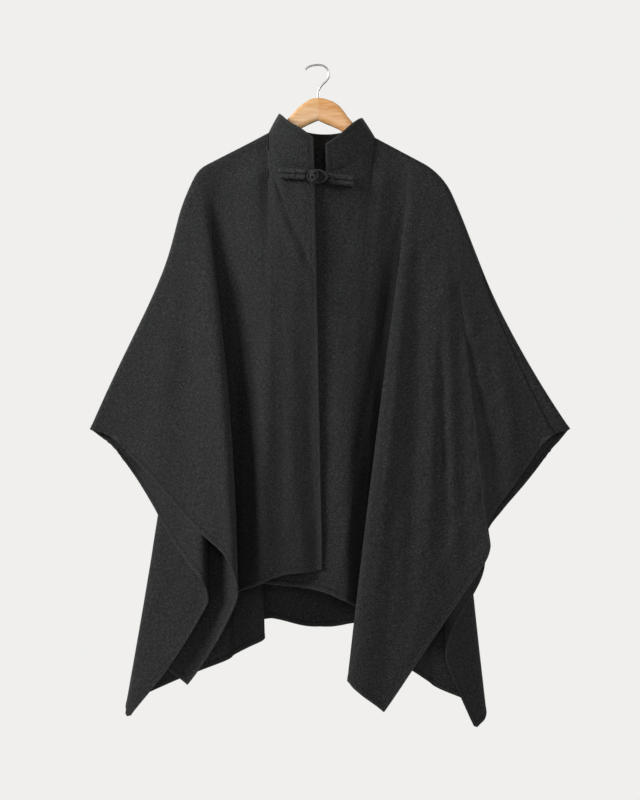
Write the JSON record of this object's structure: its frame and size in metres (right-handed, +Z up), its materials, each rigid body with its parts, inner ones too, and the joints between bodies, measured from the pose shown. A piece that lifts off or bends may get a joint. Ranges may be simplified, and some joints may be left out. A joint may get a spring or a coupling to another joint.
{
  "type": "poncho on a hanger",
  "caption": "Open-front wool poncho with a stand collar and a cloth frog closure, hanging in soft folds from a wooden hanger with a wire hook.",
  "frame": {"origin": "where the inside of the hook bears on the pin or rail that holds it", "axes": "+Z up, -Y out of the front of the garment, +X to the viewer's right"},
  "size_m": [0.8729, 0.1432, 1.2013],
  "materials": {
    "wool": "heathered charcoal wool, matt",
    "frog": "stitched cords of the same wool",
    "hanger_wood": "clear satin varnish",
    "hook_wire": "bright plated wire"
  },
  "bodies": {
    "root": {"front_left": "wool", "front_right": "wool", "back": "wool", "collar": "wool", "frog_strap_left": "frog", "frog_strap_right": "frog", "frog_knot": "frog", "frog_loop": "frog", "hanger_arm_left": "hanger_wood", "hanger_arm_right": "hanger_wood", "hook": "hook_wire"}
  },
  "joints": []
}
